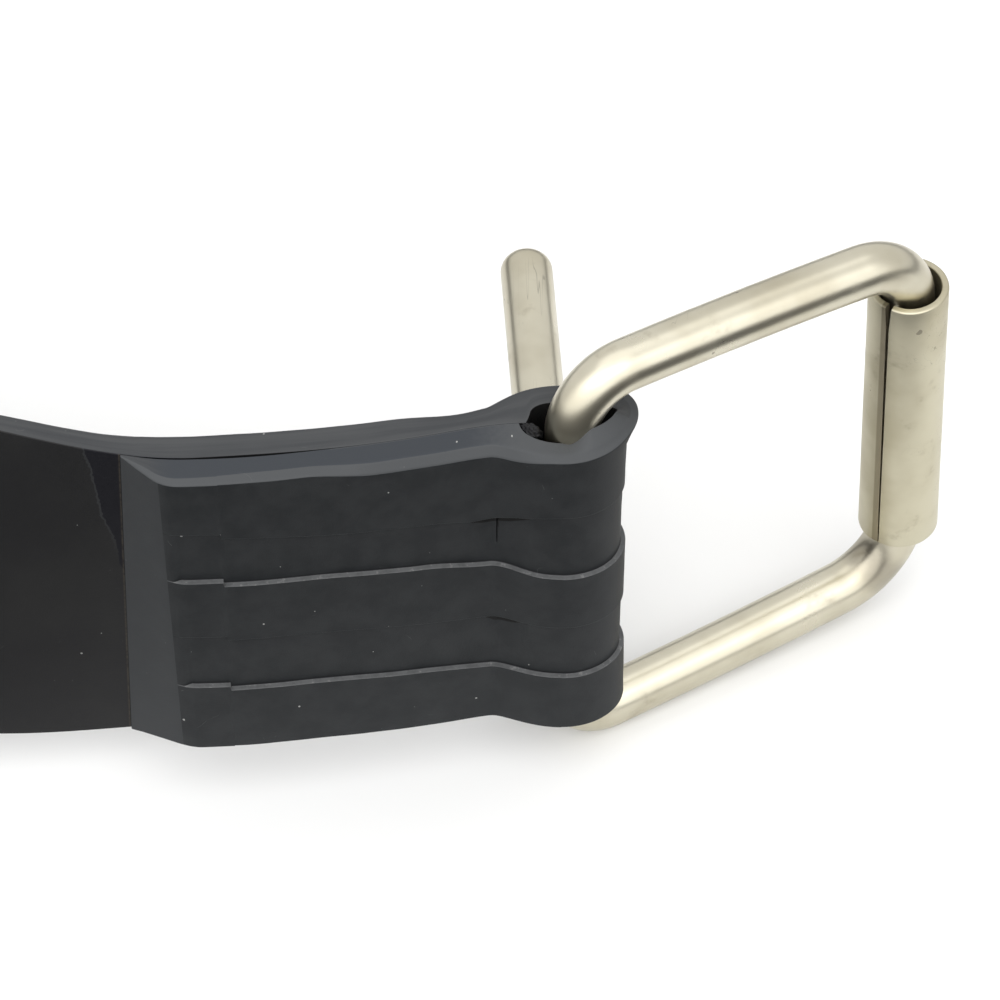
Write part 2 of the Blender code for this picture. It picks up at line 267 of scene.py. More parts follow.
def layFloor():
    reach = studio["floorReach"]
    mesh = bpy.data.meshes.new("paleFloor")
    corners = [(-reach, -reach, 0), (reach, -reach, 0), (reach, reach, 0), (-reach, reach, 0)]
    mesh.from_pydata(corners, [], [(0, 1, 2, 3)])
    sheet = Sheet("paleFloor")
    spot = sheet.place()
    tone = sheet.mix(sheet.noise(spot, 40) * 0.05, studio["floorColour"], studio["floorGrain"])
    # the near side of the table only shows dark where the metal mirrors it
    near = 1 - sheet.split(spot, 1).ramp(studio["floorDarkFrom"], studio["floorDarkTo"])
    tone = sheet.mix(near * (1 - sheet.node("ShaderNodeLightPath")), tone, studio["floorDark"])
    mesh.materials.append(sheet.finish(Base_Color=tone, Roughness=0.9, Specular_IOR_Level=0.1))
    floor = bpy.data.objects.new("paleFloor", mesh)
    bpy.context.scene.collection.objects.link(floor)


def hangLight(name, place, aim, size, power, warmth=(1, 1, 1)):
    data = bpy.data.lights.new(name, "AREA")
    data.shape = "RECTANGLE"
    data.size, data.size_y = size
    data.energy = power
    data.color = warmth
    light = bpy.data.objects.new(name, data)
    light.location = place
    light.rotation_euler = (Vector(aim) - Vector(place)).to_track_quat("-Z", "Y").to_euler()
    light.visible_camera = False
    bpy.context.scene.collection.objects.link(light)


def lightRoom():
    world = bpy.data.worlds.new("studioRoom")
    sheet = Sheet("studioRoom", world)
    way = sheet.node("ShaderNodeTexCoord", take=0)
    front = sheet.split(way, 1)
    height = sheet.split(way, 2)
    toCamera = 1 - front.ramp(-0.6, 0.1)
    dark = toCamera * (1 - height.ramp(-0.03, 0.13))
    panel = toCamera * height.ramp(0.0, 0.16) * (1 - height.ramp(0.95, 1.0))
    glare = studio["frontLow"] + height.ramp(0.45, 0.75) * (studio["frontHigh"] - studio["frontLow"])
    level = studio["around"] + panel * (glare - studio["around"])
    level = level + dark * (studio["frontDark"] - studio["around"])
    eye = sheet.node("ShaderNodeLightPath", take=0)
    level = level * (1 - eye) + eye * studio["backdrop"]
    glow = sheet.node("ShaderNodeBackground", None, {"Color": (1.0, 1.0, 1.0), "Strength": level})
    out = sheet.tree.nodes.new("ShaderNodeOutputWorld")
    sheet.tree.links.new(glow.socket, out.inputs["Surface"])
    bpy.context.scene.world = world
    hangLight("softOverhead", (0.0, 0.25, 1.4), (0, 0, 0), (1.4, 1.0), studio["overheadPower"])
    bpy.context.scene.view_settings.view_transform = "Standard"


# strap
strap = {
    "width": 50.8 * mm,
    "thick": 4.3 * mm, "runThick": 3.8 * mm, "pinch": 0.95 * mm,
    "bandEdges": (-14.8 * mm, -5.0 * mm, 4.8 * mm, 15.2 * mm),
    "bandSag": (-0.7 * mm, -1.1 * mm, -1.0 * mm, -0.6 * mm),
    "ledge": 0.66 * mm, "undercut": 0.30 * mm, "taper": 0.14 * mm,
    "ledgeRun": 0.14 * mm,
    "chamferOut": 1.7 * mm, "chamferUp": 0.8 * mm, "chamferLow": 0.25 * mm,
    "edgeRound": 0.25 * mm,
    "foldX": -1.0 * mm,
    "holeY": 0.15 * mm, "holeHalf": 3.6 * mm, "holeLeft": 5.7 * mm, "holeLeftRear": 4.6 * mm, "holeRight": 5.9 * mm,
    "loopY": 0.3 * mm, "loopHalf": 7.0 * mm, "loopLeft": 10.5 * mm, "loopRight": 8.1 * mm,
    "blend": 1.5 * mm,
    "openSeam": 0.42 * mm, "shutSeam": 0.012 * mm,
    "seamStartX": -12 * mm, "seamEndX": -56 * mm, "seamEndY": -6.55 * mm, "seamRise": 6.1 * mm,
    "bevelX": -51.0 * mm, "bevelSkew": 1.1 * mm, "flapEndX": -57.7 * mm, "flapEndThick": 0.3 * mm,
    "flapStepX": -44.6 * mm, "flapStep": 0.08 * mm, "flapStepRise": 0.8 * mm,
    "frontRadius": 150 * mm, "backLength": 270 * mm, "sideRadius": 100 * mm, "tailLength": 215 * mm,
    "leanMost": 12.0, "leanFrom": 48 * mm, "leanTo": 88 * mm, "leanEnd": 380 * mm,
    "lift": 9.55 * mm, "loopDrop": 0.5 * mm, "liftFrom": 90 * mm, "liftTo": 330 * mm,
    "loopTilt": 0.6,
    "lipPush": 2.3 * mm, "lipCurl": 2.1 * mm,
    "crackFrom": -13.2 * mm, "crackTo": -5.0 * mm, "crackDepth": 0.5 * mm,
    "slitFrom": -10.2 * mm, "slitTo": -5.4 * mm, "slitDepth": 0.4 * mm,
    "nickX": -9.6 * mm, "nickWidth": 0.1 * mm, "nickDepth": 0.35 * mm, "nickLow": 8.9 * mm, "nickHigh": 11.7 * mm,
    "holeCount": 6, "holeRadius": 4.0 * mm, "holePitch": 30 * mm, "holeToTip": 40 * mm,
    "tipLength": 20 * mm, "tipWidth": 22 * mm,
    "pocketRadius": 5.6 * mm, "windowHalf": 4.3 * mm,
    "window": ((-11, 0.9), (-8, -0.7), (-4, -0.7), (3.36, 0.9), (14, 7), (14, 14), (-11, 14)),  # in mm
}


def seamLine(x):
    t = (x - strap["seamEndX"]) / (strap["seamStartX"] - strap["seamEndX"])
    return softMin(strap["seamEndY"] + strap["seamRise"] * t * t, strap["holeY"], strap["blend"])


def ovalHalf(x, half, left, power=2.0):
    t = max(0.0, strap["foldX"] - x) / left
    return half * max(0.0, 1 - t ** power) ** (1 / power)


def layerThick(x, side):
    if side < 0:
        return strap["thick"]
    run = smoothStep(x, -62 * mm, -50 * mm)
    return strap["runThick"] + (strap["thick"] - strap["runThick"]) * run - strap["pinch"] * hump(x, -14.5 * mm, 5 * mm)


def layerEnds(x, side):
    # smooth-face point and ribbed-face point of the flap (side -1) or the layer behind it (side 1)
    opened = hump(x, -43 * mm, 9 * mm)
    gap = strap["shutSeam"] + (strap["openSeam"] - strap["shutSeam"]) * opened
    line = seamLine(x)
    left, power = (strap["holeLeft"], 2) if side < 0 else (strap["holeLeftRear"], 3)
    hole = ovalHalf(x, strap["holeHalf"], left, power)
    inner = max(gap / 2, hole)
    loop = ovalHalf(x, strap["loopHalf"], strap["loopLeft"]) + side * (strap["loopY"] - strap["holeY"])
    outer = -softMin(-layerThick(x, side) - gap / 2, -loop, strap["blend"])
    return Vector((x, line + side * inner, 0)), Vector((x, line + side * outer, 0))


def nearLoop(x):
    # 1 at the fold, easing to 0 along both layers
    return smoothStep(x, -36 * mm, -12 * mm)


def leanAt(run):
    rise = smoothStep(run, strap["leanFrom"], strap["leanTo"])
    return math.radians(strap["leanMost"]) * rise * (1 - smoothStep(run, strap["leanTo"], strap["leanEnd"]))


def roundedOutline(corners):
    # corners are (out, up, radius, inner points on the following side); every corner gives the same count of points
    outline = []
    total = len(corners)
    for i, (n, u, radius, extra) in enumerate(corners):
        here = Vector((n, u))
        before = Vector(corners[i - 1][:2]) - here
        after = Vector(corners[(i + 1) % total][:2]) - here
        reach = min(radius, before.length * 0.35, after.length * 0.35)
        start, end = here + before.normalized() * reach, here + after.normalized() * reach
        ease = min(0.15 * mm, before.length * 0.1, after.length * 0.1)
        outline.append((start + before.normalized() * ease, i - 1))
        for k in range(4):
            t = k / 3
            outline.append((start * (1 - t) ** 2 + here * 2 * t * (1 - t) + end * t ** 2, i if k else i - 1))
        near, far = end + after.normalized() * ease, Vector(corners[(i + 1) % total][:2])
        outline.append((near, i))
        for k in range(extra):
            outline.append((near.lerp(far - after.normalized() * ease, (k + 1) / (extra + 1)), i))
    return outline


def ribbedOutline(thick, ribs=1.0, sag=0.0, rise=0.0, drift=(0, 0, 0, 0), crack=0.0, slit=0.0, chamfer=None, snug=None):
    half = strap["width"] / 2
    low, midLow, midHigh, high = (edge + sag * drop + rise + move * mm for edge, drop, move
                                  in zip(strap["bandEdges"], strap["bandSag"], drift))
    high += crack * 0.4
    step, tiny, small = strap["ledgeRun"], 0.1 * mm, strap["edgeRound"]
    ledge, under, taper = (strap[key] * ribs for key in ("ledge", "undercut", "taper"))
    wide, tall = chamfer or (strap["chamferOut"], strap["chamferUp"])
    wide, tall, foot = min(wide, 0.4 * thick), min(tall, 0.3 * thick), min(strap["chamferLow"], 0.2 * thick)
    inner = small if snug is None else snug
    return roundedOutline([
        (0, -half, inner, 0), (thick - foot, -half, small, 0), (thick, foot - half, small, 3),
        (thick, low, tiny, 0), (thick - ledge, low + step, tiny, 3),
        (thick - taper - under - slit, midLow - step, tiny, 0), (thick - taper, midLow, tiny, 3),
        (thick, midHigh, tiny, 0), (thick - ledge, midHigh + step, tiny, 4),
        (thick - taper - under - crack, high - step, tiny, 0), (thick - taper, high, tiny, 3),
        (thick, half - tall, small, 0), (thick - wide, half, small, 2), (0, half, inner, 12)])


def strapRing(inner, outer, run, side, near=0.0, nick=0.0, lip=0.0, curl=0.0, along=0.0, skew=0.0, **shape):
    across = outer - inner
    thick = across.length
    across.normalize()
    lean = leanAt(run)
    up = Vector((0, 0, math.cos(lean))) + across * side * math.sin(lean)
    out = across * math.cos(lean) - Vector((0, 0, side * math.sin(lean)))
    half = strap["width"] / 2
    lift = strap["lift"] * (1 - smoothStep(run, strap["liftFrom"], strap["liftTo"])) - strap["loopDrop"] * near
    centre = inner + Vector((0, 0, half + lift + strap["thick"] * math.sin(lean)))
    tilt = math.tan(math.radians(strap["loopTilt"])) * near
    ring = []
    for n, u in (point for point, _ in ribbedOutline(thick, sag=near, **shape)):
        top = smoothStep(u, half - 3.4 * mm, half - 0.8 * mm)
        n += 0.035 * mm * ripple(along * 300, u * 420) * min(1.0, n / mm)
        if nick and strap["nickLow"] < u < strap["nickHigh"] and n > thick - 0.9 * mm:
            n -= nick
        u += curl * top * max(0.0, 1 - n / (0.8 * thick))
        n += lip * top * (0.6 + 0.4 * n / thick)
        point = centre + out * n + up * u
        point.y += tilt * u
        point.x -= skew * u / half
        ring.append(point)
    return ring


def span(start, end, count):
    return [start + (end - start) * i / count for i in range(count)]


def flapRings():
    rings = []
    start, bevel, step = strap["flapEndX"], strap["bevelX"], strap["flapStepX"]
    full = strap["thick"] + strap["flapStep"]
    for x in span(start, bevel, 10) + span(bevel, bevel + 2.4 * mm, 9):
        slope = strap["flapEndThick"] + (full - strap["flapEndThick"]) * (x - start) / (bevel - start)
        thick = softMin(slope, full, 1.1 * mm)
        inner = layerEnds(x, -1)[0]
        rings.append(strapRing(inner, inner - Vector((0, thick, 0)), -x, -1, along=x, skew=bevelSkew(x), snug=0.04 * mm,
                               ribs=smoothStep(x, bevel - 0.2 * mm, bevel + 1.2 * mm), rise=strap["flapStepRise"],
                               drift=bandDrift(x), chamfer=frontChamfer(x)))
    places = span(bevel + 2.4 * mm, step - 0.12 * mm, 7) + [step - 0.1 * mm, step]
    places += span(step + 0.5 * mm, strap["seamStartX"], 46)
    for x in places:
        inner, outer = layerEnds(x, -1)
        before = x < step - 0.05 * mm
        if before:
            outer.y -= strap["flapStep"]
        rings.append(strapRing(inner, outer, -x, -1, near=nearLoop(x), along=x, rise=strap["flapStepRise"] * before,
                               drift=bandDrift(x), chamfer=frontChamfer(x), skew=bevelSkew(x), snug=0.04 * mm))
    return rings


def bandDrift(x):
    # the four band edges wander a little along the flap, in mm
    early = 1 - smoothStep(x, -19 * mm, -10 * mm)
    late = smoothStep(x, -9 * mm, -3 * mm)
    dip = (0.4 + 1.2 * smoothStep(x, -48 * mm, -27 * mm)) * (1 - smoothStep(x, -12 * mm, -1 * mm))
    return 0.55 * early, 0.3 * early, 0.95 * early - 0.5 * late, -dip - 0.9 * hump(x, -11 * mm, 4.5 * mm)


def frontChamfer(x):
    # (out, up) of the flap's top chamfer: flat along the middle, steeper towards the loop
    late = smoothStep(x, -34 * mm, -25 * mm) * (1 - smoothStep(x, -8 * mm, -2 * mm))
    early = smoothStep(x, -50 * mm, -38 * mm) * (1 - smoothStep(x, -34 * mm, -25 * mm))
    return (1.15 + 0.55 * early - 0.1 * late) * mm, (0.4 - 0.2 * early + 0.9 * late) * mm


def bevelSkew(x):
    # the flap was cut a little out of square
    bevel = strap["bevelX"]
    return strap["bevelSkew"] * smoothStep(x, strap["flapEndX"], bevel) * (1 - smoothStep(x, bevel, bevel + 14 * mm))


def pinchPlaces():
    places = span(strap["seamStartX"], strap["foldX"], 36)
    nick, wide = strap["nickX"], strap["nickWidth"]
    places = [x for x in places if abs(x - nick) > 2.5 * wide] + [nick - wide, nick, nick + wide]
    return sorted(places)


def loopRings():
    rings = []
    for x in pinchPlaces():
        crack = smoothStep(x, strap["crackFrom"], strap["crackFrom"] + 2 * mm)
        crack *= 1 - smoothStep(x, strap["crackTo"] - 2.5 * mm, strap["crackTo"])
        slit = smoothStep(x, strap["slitFrom"], strap["slitFrom"] + mm)
        slit *= 1 - smoothStep(x, strap["slitTo"] - mm, strap["slitTo"])
        nick = strap["nickDepth"] if abs(x - strap["nickX"]) < strap["nickWidth"] / 2 else 0.0
        rings.append(strapRing(*layerEnds(x, -1), -x, -1, near=1.0, drift=bandDrift(x), chamfer=frontChamfer(x),
                               along=x, nick=nick, crack=crack * strap["crackDepth"], slit=slit * strap["slitDepth"],
                               snug=0.04 * mm))
    steps = 84
    for i in range(steps + 1):
        turn = math.pi * (i / steps - 0.5)
        cos, sin = math.cos(turn), math.sin(turn)
        inner = Vector((strap["foldX"] + strap["holeRight"] * cos, strap["holeY"] + strap["holeHalf"] * sin, 0))
        outer = Vector((strap["foldX"] + strap["loopRight"] * cos, strap["loopY"] + strap["loopHalf"] * sin, 0))
        lip = strap["lipPush"] * hump(turn, 0.5, 0.6)
        curl = strap["lipCurl"] * smoothStep(turn, -1.5, -0.95) * (1 - smoothStep(turn, -0.1, 0.6))
        back = smoothStep(turn, 0.6, 1.4)
        drift = [move * (1 - smoothStep(turn, -0.6, 0.8)) for move in bandDrift(strap["foldX"])]
        rings.append(strapRing(inner, outer, 0, 1, near=1.0, lip=lip, curl=curl, along=turn * 7 * mm, snug=0.12 * mm,
                               drift=drift, chamfer=rearChamfer(back)))
    for x in reversed(pinchPlaces()):
        rings.append(strapRing(*layerEnds(x, 1), -x, 1, near=1.0, along=-x, chamfer=rearChamfer(1.0), snug=0.04 * mm))
    return rings


def rearChamfer(share):
    # the hidden layer keeps a squarer top corner than the flap
    return tuple(front + (0.55 * mm - front) * share for front in frontChamfer(0.0))


def arcRings(centre, radius, start, end, run, step, skipFirst=True):
    count = max(1, round(radius * math.radians(abs(start - end)) / step))
    rings = []
    for i in range(1 if skipFirst else 0, count + 1):
        angle = math.radians(start + (end - start) * i / count)
        ray = Vector((math.cos(angle), math.sin(angle), 0))
        length = run + radius * (math.radians(start) - angle)
        thick = layerThick(-length, 1)
        rings.append(strapRing(centre + ray * radius, centre + ray * (radius - thick), length, 1,
                               along=length, chamfer=rearChamfer(0.7)))
    return rings


def runRings():
    big = strap["frontRadius"]
    rings = [strapRing(*layerEnds(x, 1), -x, 1, near=nearLoop(x), along=-x, chamfer=rearChamfer(1.0), snug=0.04 * mm)
             for x in span(strap["seamStartX"] - mm, strap["seamEndX"], 50)]
    front = Vector((strap["seamEndX"], strap["seamEndY"] + big, 0))
    rings += arcRings(front, big, 270, 255, -strap["seamEndX"], 1.5 * mm, skipFirst=False)
    rings += arcRings(front, big, 255, 90, -strap["seamEndX"] + big * math.radians(15), 3.5 * mm)
    thick = strap["runThick"]
    for x in span(strap["seamEndX"], strap["seamEndX"] + strap["backLength"], 24)[1:]:
        top = Vector((x, strap["seamEndY"] + 2 * big, 0))
        rings.append(strapRing(top, top - Vector((0, thick, 0)), strap["leanEnd"], 1,
                               along=x, chamfer=rearChamfer(0.7)))
    side = Vector((strap["seamEndX"] + strap["backLength"], strap["seamEndY"] + 2 * big - strap["sideRadius"], 0))
    rings += arcRings(side, strap["sideRadius"], 90, 0, strap["leanEnd"], 3 * mm, skipFirst=False)
    for y in span(side.y, side.y - strap["tailLength"], 43)[1:] + [side.y - strap["tailLength"]]:
        edge = Vector((side.x + strap["sideRadius"], y, 0))
        rings.append(strapRing(edge, edge - Vector((thick, 0, 0)), strap["leanEnd"], 1, along=y,
                               chamfer=rearChamfer(0.7)))
    return rings


shelves = {"smooth": 0.0, "foot": 0.1, "top": 0.2, "chamfer": 0.3, "ledge": 0.4, "under": 0.5, "face": 0.6}


def mapStrap(mesh, rings):
    # map "strapRun": metres along the strap, and metres up it plus a shelf for each kind of face
    outline = ribbedOutline(strap["thick"])
    sides = [side % 14 for _, side in outline]
    size, half = len(sides), strap["width"] / 2
    run = [0.0]
    for a, b in zip(rings, rings[1:]):
        run.append(run[-1] + sum((p - q).length for p, q in zip(a[::12], b[::12])) / len(a[::12]))
    named = {13: "smooth", 0: "foot", 1: "foot", 12: "top", 11: "chamfer",
             3: "ledge", 7: "ledge", 5: "under", 9: "under"}
    layer = mesh.uv_layers.new(name="strapRun")
    values = [0.0] * (len(mesh.loops) * 2)
    for polygon in mesh.polygons:
        corner = [divmod(v, size) for v in polygon.vertices]
        columns = {c for _, c in corner}
        column = max(columns) if columns == {0, size - 1} else min(columns)
        side = sides[column] if len(columns) == 2 else 0
        for loop, (r, c) in zip(polygon.loop_indices, corner):
            n, u = outline[c][0]
            along = n if side in (0, 1, 11, 12) else u + half
            values[2 * loop], values[2 * loop + 1] = run[r], shelves[named.get(side, "face")] + along
    layer.data.foreach_set("uv", values)


def tailEnd():
    # x of the outer side and y of the cut end of the tail
    side = strap["seamEndX"] + strap["backLength"] + strap["sideRadius"]
    return side, strap["seamEndY"] + 2 * strap["frontRadius"] - strap["sideRadius"] - strap["tailLength"]


def cutterFrom(name, rings):
    mesh = skinBetween(name, rings)
    faceOutwards(mesh)
    ob = bpy.data.objects.new(name, mesh)
    bpy.context.scene.collection.objects.link(ob)
    return ob


def windowCutters():
    # pocket round the tongue's eye and the window in the back of the fold
    low, high = (tongue["height"] + hand * strap["windowHalf"] for hand in (-1, 1))
    radius = strap["pocketRadius"]
    circle = [(radius * math.cos(a), radius * math.sin(a)) for a in (i * math.pi / 48 for i in range(96))]
    window = [(x * mm, y * mm) for x, y in strap["window"]]
    return [cutterFrom(name, [[Vector((x, y, z)) for x, y in outline] for z in (low, high)])
            for name, outline in (("pocketCutter", circle), ("windowCutter", window))]


def tipCutters():
    side, end = tailEnd()
    middle, reach = strap["width"] / 2, strap["tipLength"]
    blunt, clear = strap["tipWidth"] / 2 - 0.7 * mm, 40 * mm
    made = []
    for hand in (-1, 1):
        curve = []
        for k in range(13):
            t = k / 12
            y = end - mm + (reach + mm) * t
            rise = t + 0.12 * math.sin(math.pi * t)
            curve.append((y, middle + hand * (blunt + (middle - blunt) * rise)))
        curve += [(end + reach, middle + hand * clear), (end - mm, middle + hand * clear)]
        rings = [[Vector((side + d, y, z)) for y, z in curve] for d in (-9 * mm, 4 * mm)]
        made.append(cutterFrom("tipCutter", rings))
    return made


# node group that punches the row of adjusting holes
def punchTree(material):
    tree, ids, source = startTree("punchHoles", {"Count": "Int", "Radius": "Float", "Pitch": "Float",
                                                 "First hole": "Vector"})
    nodes, links = tree.nodes, tree.links
    offset = nodes.new("ShaderNodeCombineXYZ")
    links.new(source.outputs["Pitch"], offset.inputs["Y"])
    line = nodes.new("GeometryNodeMeshLine")
    links.new(source.outputs["Count"], line.inputs["Count"])
    links.new(source.outputs["First hole"], line.inputs["Start Location"])
    links.new(offset.outputs[0], line.inputs["Offset"])
    drill = nodes.new("GeometryNodeMeshCylinder")
    drill.inputs["Vertices"].default_value = 48
    drill.inputs["Depth"].default_value = 16 * mm
    links.new(source.outputs["Radius"], drill.inputs["Radius"])
    place = nodes.new("GeometryNodeInstanceOnPoints")
    links.new(line.outputs["Mesh"], place.inputs["Points"])
    links.new(drill.outputs["Mesh"], place.inputs["Instance"])
    place.inputs["Rotation"].default_value = (0, math.pi / 2, 0)
    real = nodes.new("GeometryNodeRealizeInstances")
    links.new(place.outputs[0], real.inputs[0])
    punch = nodes.new("GeometryNodeMeshBoolean")
    punch.operation = "DIFFERENCE"
    punch.solver = "EXACT"
    links.new(source.outputs["Geometry"], punch.inputs["Mesh 1"])
    links.new(real.outputs[0], punch.inputs["Mesh 2"])
    endTree(tree, punch.outputs["Mesh"], material)
    return tree, ids


def tornLump():
    # flash left in the mouth of the fold, beside the bar
    bm = bmesh.new()
    bmesh.ops.create_icosphere(bm, subdivisions=5, radius=1.0)
    top = strap["lift"] - strap["loopDrop"] + strap["width"]
    centre = Vector((-5.35 * mm, -0.6 * mm, top - 1.1 * mm))
    for vert in bm.verts:
        p = vert.co.copy()
        rough = 1 + 0.13 * ripple(p.x * 4 + 1, p.y * 5 + p.z * 3) + 0.05 * ripple(p.x * 13, p.z * 11)
        slump = 0.55 * mm * p.x * p.x - 0.5 * mm * p.x
        vert.co = centre + Vector((1.6 * mm * p.x, 1.35 * mm * p.y, 1.4 * mm * p.z)) * rough + Vector((0, slump, 0))
    mesh = bpy.data.meshes.new("tornLump")
    bm.to_mesh(mesh)
    bm.free()
    mesh.shade_smooth()
    return mesh


def joinMeshes(name, meshes):
    bm = bmesh.new()
    for mesh in meshes:
        bm.from_mesh(mesh)
    joined = bpy.data.meshes.new(name)
    bm.to_mesh(joined)
    bm.free()
    return joined


def bareRubber(sheet, at, on):
    # tones of the moulded faces and the cut top edge, with a painted highlight on the up-facing ledges and painted
    # shade on the faces under the bands
    tone, run, marks = rubberTones, at["run"], rubberMarks
    ribbed = sheet.mix(at["mottled"].ramp(0.3, 0.7), tone["ribbedDark"], tone["ribbedLight"])
    smooth = sheet.mix(at["clouds"].ramp(0.35, 0.7), tone["smoothDark"], tone["smoothLight"])
    drawn = sheet.node("ShaderNodeMapping", None, {"Vector": at["map"], "Scale": (25, 900, 1)})
    streak = sheet.noise(drawn, 1, 3, 0.6)
    edge = sheet.mix((streak * 0.7 + at["clouds"] * 0.3).ramp(0.38, 0.62), tone["edgeDark"], tone["edgeLight"])
    inset = on["top"] * (run < marks["flapRun"]) * run.ramp(*marks["insetStart"])
    inset = inset * (1 - (run + at["fine"] * 0.004).ramp(*marks["insetEnd"]))
    loopTop = on["top"] * (run > marks["loopTop"][0]) * (run < marks["loopTop"][1])
    # painted highlight: a pale line along the top where the two layers meet
    seamHighlight = on["top"] * (at["across"] < shelves["top"] + marks["seamHighlightWide"])
    seamHighlight = seamHighlight * (at["sideways"] > marks["seamHighlight"][0]) * (at["sideways"] < marks["seamHighlight"][1])
    colour = sheet.mix(on["smooth"], ribbed, smooth)
    colour = sheet.mix(on["foot"] + on["top"], colour, edge)
    colour = sheet.mix(loopTop, colour, tone["chamfer"])
    colour = sheet.mix(inset, colour, tone["inset"])
    colour = sheet.mix(on["chamfer"] + seamHighlight * 0.5, colour, tone["chamfer"])
    # painted highlight: the up-facing ledges get a pale tone for the light falling on them, patchy with the worn noise
    colour = sheet.mix(on["ledge"] * (0.75 + at["worn"] * 0.25), colour, tone["ledge"])
    # painted shade: the down-facing undersides of the bands are darkened towards the dark tone
    colour = sheet.mix(on["under"] * 0.7, colour, tone["dark"])
    # the bevelled end of the flap is painted paler than the ribbed face: painted light on a face turned towards the
    # light
    bevel = (on["ledge"] + on["under"] + on["face"]) * (run < marks["bevelRun"])
    colour = sheet.mix(bevel, colour, tone["bevel"])
    return sheet.mix(on["smooth"] * (run < marks["lumpRun"]), colour, tone["lump"])


def splitRubber(sheet, at, on, colour):
    # painted shade in the split and nick under the top band and the slit under the middle one, and painted shade by the
    # ledges
    tone, marks, sideways = rubberTones, rubberMarks, at["sideways"]
    up = at["across"] - shelves["face"] - strap["width"] / 2
    front = on["face"] * (at["run"] < marks["frontRun"])
    low, midLow, midHigh, high = strap["bandEdges"]

    def shadedGap(line, rise, fall, tall):
        width = sideways.ramp(*rise) * (1 - sideways.ramp(*fall))
        inside = (up > line - marks["overhang"] - width * tall) * (up < line + marks["hair"])
        return inside * front * (width > 0.05)

    high -= strap["ledgeRun"]
    crack = shadedGap(high, marks["crackRise"], marks["crackFall"], marks["crackTall"])
    slit = shadedGap(midLow - strap["ledgeRun"], marks["slitRise"], marks["slitFall"], marks["slitTall"])
    shade = sum((up - edge).between(0.1 * mm, 0.5 * mm, 0.1 * mm) for edge in (midHigh, low))
    colour = sheet.mix(shade * on["face"] * 0.55 * (at["run"] > marks["shadeFrom"]), colour, tone["dark"])
    bend = sideways - strap["nickX"] + (up - high) * 0.05 + (at["fine"] - 0.5) * marks["nickWander"]
    nick = (bend > -marks["nickHalf"]) * (bend < marks["nickHalf"])
    nick = nick * (up > high - marks["nickTall"]) * (up < high) * front
    # painted shade: the split, slit and nick are painted near-black for the shade inside them
    return sheet.mix((crack + slit + nick * 0.8).clamped(), colour, tone["gap"])


def wedgeShadeAndGlue(sheet, at, on, colour):
    # painted shade in a wedge beside the flap's end, its paler rim, and a glue line in the corner
    tone, marks, sideways, height = rubberTones, rubberMarks, at["sideways"], at["height"]
    wander = (at["fine"] - 0.5) * (0.7 * mm) + (at["clouds"] - 0.5) * (5 * mm)
    wedge = marks["shadeWedgeX"] - (height - marks["shadeWedgeLow"]).clamped() * marks["shadeWedgeSlope"] + wander
    beside = on["smooth"] * (at["run"] < marks["besideRun"])
    high = height > marks["shadeWedgeLow"]
    shadeWedge = beside * (sideways > wedge) * (sideways < marks["shadeWedgeEnd"]) * high
    rim = beside * (sideways > wedge - 0.3 * mm) * (sideways < wedge) * high
    # painted shade: the wedge beside the flap's end is darkened for the shade there
    colour = sheet.mix(shadeWedge, colour, tone["shadeWedge"])
    colour = sheet.mix(rim * 0.4 * height.ramp(*marks["rimFade"]), colour, tone["edgeDark"])
    line = beside * sideways.between(*marks["glueLine"]) * (0.4 + at["fine"].ramp(0.3, 0.6) * 0.6)
    return sheet.mix(line * 0.7, colour, tone["glue"])


def mouldedRubber():
    sheet = Sheet("mouldedRubber")
    spot = sheet.place()
    strapMap = sheet.node("ShaderNodeUVMap", {"uv_map": "strapRun"})
    at = {
        "map": strapMap, "run": sheet.split(strapMap, 0), "across": sheet.split(strapMap, 1),
        "sideways": sheet.split(spot, 0), "height": sheet.split(spot, 2) - strap["lift"],
        "mottled": sheet.noise(spot, 260, 4, 0.6), "fine": sheet.noise(spot, 1500, 2, 0.5),
        "clouds": sheet.noise(spot, 60, 3, 0.5), "worn": sheet.noise(spot, 700, 3, 0.7).ramp(0.35, 0.6),
    }
    on = {name: (at["across"] > shelf - 0.02) * (at["across"] < shelf + 0.08) for name, shelf in shelves.items()}
    colour = bareRubber(sheet, at, on)
    colour = splitRubber(sheet, at, on, colour)
    colour = wedgeShadeAndGlue(sheet, at, on, colour)
    # dust, lint and hairline scratches
    dots = sheet.flecks(strapMap, 420, 0.050, 0.26)
    lint = sheet.flecks(strapMap, 900, 0.050, 0.16) * sheet.noise(spot, 90, 2).ramp(0.46, 0.66)
    powder = at["fine"].ramp(0.60, 0.68) * on["ledge"] * at["worn"]
    contour = sheet.noise(spot, 210, 1, 0.3)
    scratch = contour.between(0.4985, 0.5015, 0.001) * sheet.noise(spot, 250, 1).ramp(0.70, 0.74)
    pale = (dots + lint * 0.5 + powder * 0.25 + scratch * 0.2).clamped()
    colour = sheet.mix(pale * (1 - on["smooth"] * 0.4), colour, rubberTones["dust"])
    rough = 0.52 + at["mottled"] * 0.14 + on["chamfer"] * 0.06 - on["smooth"] * 0.10 + pale * 0.2
    skin = sheet.noise(spot, 5200, 2, 0.6)
    relief = skin * 0.5 + at["mottled"] * 0.6 + dots * 1.5 - scratch
    bumped = sheet.node("ShaderNodeBump", None, {"Strength": 0.16, "Distance": 0.2 * mm, "Height": relief})
    return sheet.finish(Base_Color=colour, Roughness=rough, Normal=bumped, Specular_IOR_Level=0.25)


